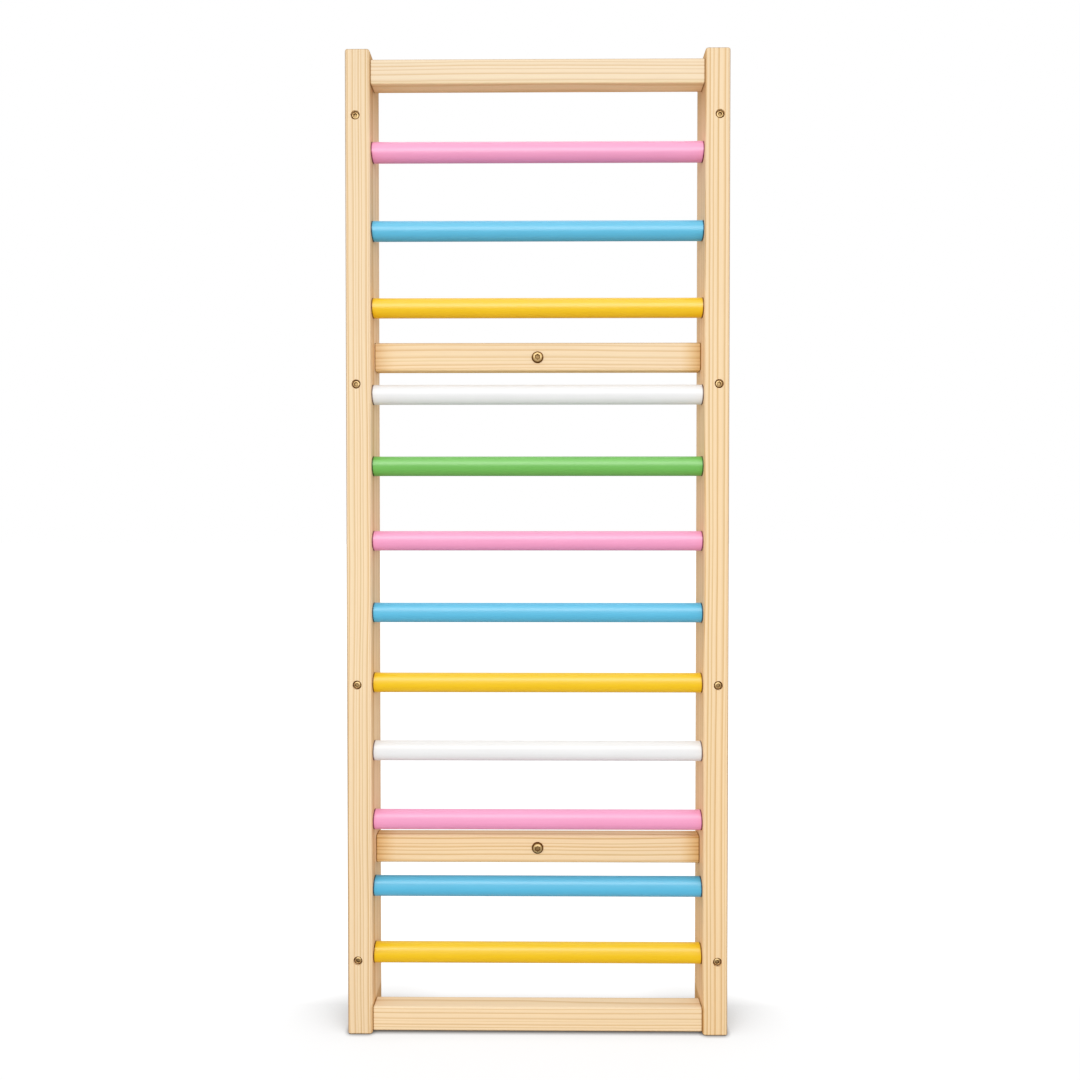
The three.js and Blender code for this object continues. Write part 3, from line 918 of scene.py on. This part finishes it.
def aged_brass(brass):
    """Brass that is clean on the crown and dark where its attribute of patina and painted shade says so."""
    material, tree, shader = new_material("aged_brass")
    place_of = add(tree, "ShaderNodeTexCoord").outputs["Object"]
    # painted shade and patina at the rim and in the key socket
    tarnish = add(tree, "ShaderNodeAttribute", attribute_name="tarnish").outputs["Fac"]
    spots = noise(tree, stretched(tree, place_of, SPOT_SCALE), SPOT_DETAIL).outputs[0]
    dull = calculate(tree, "ADD", tarnish, remap(tree, spots, *SPOT_SPAN, *SPOT_DULLNESS))
    dull = add(tree, "ShaderNodeClamp", {"Value": dull}).outputs[0]
    tree.links.new(blend(tree, dull, rgba(brass.metal), rgba(brass.tarnish)), shader.inputs["Base Color"])
    tree.links.new(remap(tree, dull, 0, 1, *BRASS_ROUGHNESS), shader.inputs["Roughness"])
    tree.links.new(remap(tree, dull, 0, 1, *BRASS_METALLIC), shader.inputs["Metallic"])
    shader.inputs["Specular IOR Level"].default_value = BRASS_SPECULAR
    relief(tree, shader, spots, *BRASS_RELIEF)
    return material


class WALLBARS_OT_posts(bpy.types.Operator):
    """Planes the posts and bores them for the rungs, dowels and bolts"""

    bl_idname = "wallbars.posts"
    bl_label = "Posts"

    def execute(self, context):
        timber = context.scene.wall_bars.timber
        brass = context.scene.wall_bars.brass
        for post in POSTS:
            low, high = extent(post)
            outward = 1 if low[ALONG_X] > 0 else -1
            inner_x = low[ALONG_X] if outward > 0 else high[ALONG_X]
            side = post.removesuffix("_post")
            cutters = [rung_socket(rung, inner_x, outward, timber.socket_ease) for rung in RUNGS]
            cutters += [dowel_hole(dowel, inner_x, outward) for dowel in DOWELS if f"_{side}_" in dowel]
            for bolt in POST_BOLTS:
                if bolt.startswith(post):
                    cutters.append(bolt_hole(bolt, post, brass.post_shank, brass.post_head))
            blank = skin(f"{post}_pine", [bar_rings(low, high, ALONG_Z, timber.post_edge, timber.post_end)])
            wood = pine(post, timber, ALONG_Z, low, high, timber.post_edge)
            dress(f"{post}_pine", bore(blank, cutters), wood, post)
        return {"FINISHED"}


class WALLBARS_OT_rails(bpy.types.Operator):
    """Planes the rails and bores them for the dowels and for the bolts of the wall rails"""

    bl_idname = "wallbars.rails"
    bl_label = "Rails"

    def execute(self, context):
        timber = context.scene.wall_bars.timber
        brass = context.scene.wall_bars.brass
        for rail in RAILS:
            low, high = extent(rail)
            cutters = []
            for side, end_x, inward in (("left", low[ALONG_X], 1), ("right", high[ALONG_X], -1)):
                dowels = [dowel for dowel in DOWELS if dowel.startswith(f"{rail}_dowel_{side}")]
                cutters += [dowel_hole(dowel, end_x, inward) for dowel in dowels]
            for bolt in RAIL_BOLTS:
                if bolt.startswith(rail):
                    cutters.append(bolt_hole(bolt, rail, brass.rail_shank, brass.rail_head))
            blank = skin(f"{rail}_pine", [bar_rings(low, high, ALONG_X, timber.rail_edge, timber.rail_end)])
            wood = pine(rail, timber, ALONG_X, low, high, timber.rail_edge)
            dress(f"{rail}_pine", bore(blank, cutters), wood, rail)
        return {"FINISHED"}


class WALLBARS_OT_rungs(bpy.types.Operator):
    """Turns the rungs and paints each in its own colour"""

    bl_idname = "wallbars.rungs"
    bl_label = "Rungs"

    def execute(self, context):
        paint = context.scene.wall_bars.paint
        joint = min(np.abs(extent(post)).min(axis=0)[ALONG_X] for post in POSTS)
        coats = {}
        for rung in RUNGS:
            slot = SLOTS[rung]
            if slot not in coats:
                colour = getattr(paint, slot.removesuffix("_paint"))
                coats[slot] = satin_paint(slot, colour, paint.gloss_roughness, joint)
            low, high = extent(rung)
            radius = (high[ALONG_Z] - low[ALONG_Z]) / 2
            lead = RUNG_LEAD
            radii = [radius - lead - SUPPORT, radius - lead, radius, radius]
            start, stop = low[ALONG_X], high[ALONG_X]
            near = [start, start, start + lead, start + lead + SUPPORT]
            far = [stop - lead - SUPPORT, stop - lead, stop, stop]
            rings = turned_rings(radii + radii[::-1], near + far, (low + high) / 2, ALONG_X, ROUND_SIDES)
            dress(f"{rung}_painted", skin(f"{rung}_painted", [rings]), coats[slot], rung)
        return {"FINISHED"}


class WALLBARS_OT_bolts(bpy.types.Operator):
    """Makes the brass bolts with their button heads and key sockets"""

    bl_idname = "wallbars.bolts"
    bl_label = "Bolts"

    def execute(self, context):
        brass = context.scene.wall_bars.brass
        material = aged_brass(brass)
        kinds = (
            (POST_BOLTS, brass.post_shank, brass.post_head, brass.post_hexagon, POST_BOLT_PATINA_AND_SHADE),
            (RAIL_BOLTS, brass.rail_shank, brass.rail_head, brass.rail_hexagon, RAIL_BOLT_PATINA_AND_SHADE),
        )
        for bolts, shank, head, hexagon, darkness_levels in kinds:
            for bolt in bolts:
                rings, tarnish = bolt_rings(bolt, shank, head, hexagon, brass.hexagon_depth, *darkness_levels)
                mesh = skin(f"{bolt}_brass", [rings])
                marks = mesh.attributes.new("tarnish", "FLOAT", "POINT")
                marks.data.foreach_set("value", tarnish.ravel().astype(np.float32))
                dress(f"{bolt}_brass", mesh, material, bolt)
        return {"FINISHED"}


class WALLBARS_OT_dowels(bpy.types.Operator):
    """Gives the hidden dowels their beech"""

    bl_idname = "wallbars.dowels"
    bl_label = "Dowels"

    def execute(self, context):
        material = beech(context.scene.wall_bars.timber)
        for dowel in DOWELS:
            slots = frame["nodes"][dowel].data.materials
            slots.clear()
            slots.append(material)
        return {"FINISHED"}


class WALLBARS_OT_stage(bpy.types.Operator):
    """Sets the pale floor, the soft light and the camera"""

    bl_idname = "wallbars.stage"
    bl_label = "Stage"

    def execute(self, context):
        stage = context.scene.wall_bars.stage
        lay_floor(stage)
        light_sky(context.scene, stage)
        box = hang_light("soft_box", stage.box_place, stage.box_size, stage.box_light)
        box.visible_glossy = False
        rungs = [bpy.data.objects[f"{rung}_painted"] for rung in RUNGS]
        bolts = [bpy.data.objects[f"{bolt}_brass"] for bolt in POST_BOLTS + RAIL_BOLTS]
        strip = hang_light("strip", stage.strip_place, stage.strip_size, stage.strip_light, rungs)
        strip.visible_diffuse = False
        ceiling = hang_light("ceiling", stage.ceiling_place, stage.ceiling_size, stage.ceiling_light, rungs)
        ceiling.visible_diffuse = False
        back = hang_light("back_light", stage.back_place, stage.back_size, stage.back_light, rungs)
        back.visible_glossy = False
        glint = hang_light("glint", stage.glint_place, stage.glint_size, stage.glint_light, bolts)
        glint.visible_diffuse = False
        stand_camera(context.scene, stage)
        set_tones(context.scene.view_settings)
        return {"FINISHED"}


def lay_floor(stage):
    """A wide plane that looks white, throws little light up at the rungs and fades into the wall behind.

    Most of its white is even, and is darkened only close to the bars, by the share of the sky that they hide.
    """
    reach = FLOOR_REACH
    corners = [(-reach, -reach, 0), (reach, -reach, 0), (reach, reach, 0), (-reach, reach, 0)]
    mesh = bpy.data.meshes.new("floor")
    mesh.from_pydata(corners, [], [(0, 1, 2, 3)])
    material = bpy.data.materials.new("floor")
    material.use_nodes = True
    tree = material.node_tree
    tree.nodes.clear()
    seen = add(tree, "ShaderNodeLightPath").outputs["Is Camera Ray"]
    lit = Vector(stage.floor) * (1 - EVEN_SHARE)
    pale = add(tree, "ShaderNodeBsdfDiffuse", {"Color": rgba(lit)})
    towards = add(tree, "ShaderNodeCombineXYZ", dict(enumerate(SHADE_FROM))).outputs[0]
    open_sky = add(tree, "ShaderNodeAmbientOcclusion", {"Distance": SHADE_REACH, "Normal": towards})
    overhead = add(tree, "ShaderNodeAmbientOcclusion", {"Distance": CONTACT_REACH})
    open_share = calculate(tree, "MULTIPLY", open_sky.outputs["AO"], overhead.outputs["AO"])
    even = calculate(tree, "POWER", open_share, SHADE_POWER)
    even = calculate(tree, "MULTIPLY", even, EVEN_SHARE * FLOOR_WHITE)
    place_of = add(tree, "ShaderNodeTexCoord").outputs["Object"]
    behind = add(tree, "ShaderNodeSeparateXYZ", {0: place_of}).outputs[ALONG_Y]
    lift = calculate(tree, "ADD", even, remap(tree, behind, *GLOW_SPAN, 0.0, stage.glow))
    glow = add(tree, "ShaderNodeEmission", {"Color": WHITE, "Strength": lift})
    bright = add(tree, "ShaderNodeAddShader", {0: pale.outputs[0], 1: glow.outputs[0]})
    grey = add(tree, "ShaderNodeBsdfDiffuse", {"Color": (stage.bounce, stage.bounce, stage.bounce, 1)})
    mixed = add(tree, "ShaderNodeMixShader", {0: seen, 1: grey.outputs[0], 2: bright.outputs[0]})
    add(tree, "ShaderNodeOutputMaterial", {"Surface": mixed.outputs[0]})
    mesh.materials.append(material)
    floor = bpy.data.objects.new("floor", mesh)
    bpy.context.scene.collection.objects.link(floor)


def light_sky(scene, stage):
    """Light from all round: an even fill, and a broad light from the front and above.

    The broad light falls off with the cosine of the angle from its middle. The camera sees plain white.
    """
    world = bpy.data.worlds.new("studio")
    world.use_nodes = True
    tree = world.node_tree
    tree.nodes.clear()
    direction = add(tree, "ShaderNodeTexCoord").outputs["Generated"]
    middle = (0, -math.cos(stage.front_height), math.sin(stage.front_height))
    facing = add(tree, "ShaderNodeVectorMath", {0: direction, 1: middle}, operation="DOT_PRODUCT")
    lobe = calculate(tree, "MAXIMUM", facing.outputs["Value"], 0.0)
    total = calculate(tree, "MULTIPLY_ADD", lobe, stage.front_light, stage.fill)
    seen = add(tree, "ShaderNodeLightPath").outputs["Is Camera Ray"]
    soft = add(tree, "ShaderNodeBackground", {"Color": WHITE, "Strength": total})
    white = add(tree, "ShaderNodeBackground", {"Color": WHITE, "Strength": WHITE_POINT})
    mixed = add(tree, "ShaderNodeMixShader", {0: seen, 1: soft.outputs[0], 2: white.outputs[0]})
    add(tree, "ShaderNodeOutputWorld", {"Surface": mixed.outputs[0]})
    scene.world = world


def hang_light(name, place_of, size, brightness, pieces=()):
    """A rectangle of even brightness that faces the middle of the bars.

    It lights only the given pieces, or everything if none are given.
    """
    data = bpy.data.lights.new(name, "AREA")
    data.shape = "RECTANGLE"
    data.size, data.size_y = size
    data.energy = brightness * math.pi * size[0] * size[1]
    lamp = bpy.data.objects.new(name, data)
    lamp.location = place_of
    towards = Vector(AIM) - Vector(place_of)
    lamp.rotation_euler = towards.to_track_quat("-Z", "Y").to_euler()
    lamp.visible_camera = False
    bpy.context.scene.collection.objects.link(lamp)
    if pieces:
        lit = bpy.data.collections.new(f"lit_by_{name}")
        for piece in pieces:
            lit.objects.link(piece)
        lamp.light_linking.receiver_collection = lit
    return lamp


def set_tones(view):
    """Shows the scene's tones plainly, with a soft shoulder below white."""
    view.view_transform = "Standard"
    view.use_curve_mapping = True
    mapping = view.curve_mapping
    mapping.white_level = (WHITE_POINT, WHITE_POINT, WHITE_POINT)
    all_channels = mapping.curves[3]
    for tone, shown in TONES:
        all_channels.points.new(tone / WHITE_POINT, shown)
    mapping.update()


def stand_camera(scene, stage):
    """A camera in front of the bars, level with their middle."""
    data = bpy.data.cameras.new("camera")
    data.lens = stage.lens
    data.sensor_width = SENSOR_WIDTH
    camera = bpy.data.objects.new("camera", data)
    camera.location = stage.eye
    camera.rotation_euler = Euler((math.pi / 2 - stage.pitch, 0, stage.yaw))
    scene.collection.objects.link(camera)
    scene.camera = camera


class WALLBARS_PT_build(bpy.types.Panel):
    """Lists the steps of the build and the settings behind them"""

    bl_idname = "WALLBARS_PT_build"
    bl_label = "Wall bars"
    bl_space_type = "VIEW_3D"
    bl_region_type = "UI"
    bl_category = "Wall bars"

    def draw(self, context):
        settings = context.scene.wall_bars
        for operator in OPERATORS:
            self.layout.operator(operator.bl_idname)
        for group in (settings.timber, settings.paint, settings.brass, settings.stage):
            box = self.layout.box()
            for name in group.__annotations__:
                box.prop(group, name)


OPERATORS = (
    WALLBARS_OT_posts,
    WALLBARS_OT_rails,
    WALLBARS_OT_rungs,
    WALLBARS_OT_bolts,
    WALLBARS_OT_dowels,
    WALLBARS_OT_stage,
)
CLASSES = (
    TimberSettings,
    PaintSettings,
    BrassSettings,
    StageSettings,
    WallBarsSettings,
    *OPERATORS,
    WALLBARS_PT_build,
)


def register():
    for each in CLASSES:
        bpy.utils.register_class(each)
    bpy.types.Scene.wall_bars = PointerProperty(type=WallBarsSettings)


def unregister():
    del bpy.types.Scene.wall_bars
    for each in reversed(CLASSES):
        bpy.utils.unregister_class(each)


def main():
    register()
    bpy.ops.wallbars.posts()
    bpy.ops.wallbars.rails()
    bpy.ops.wallbars.rungs()
    bpy.ops.wallbars.bolts()
    bpy.ops.wallbars.dowels()
    bpy.ops.wallbars.stage()


if __name__ == "__main__":
    main()
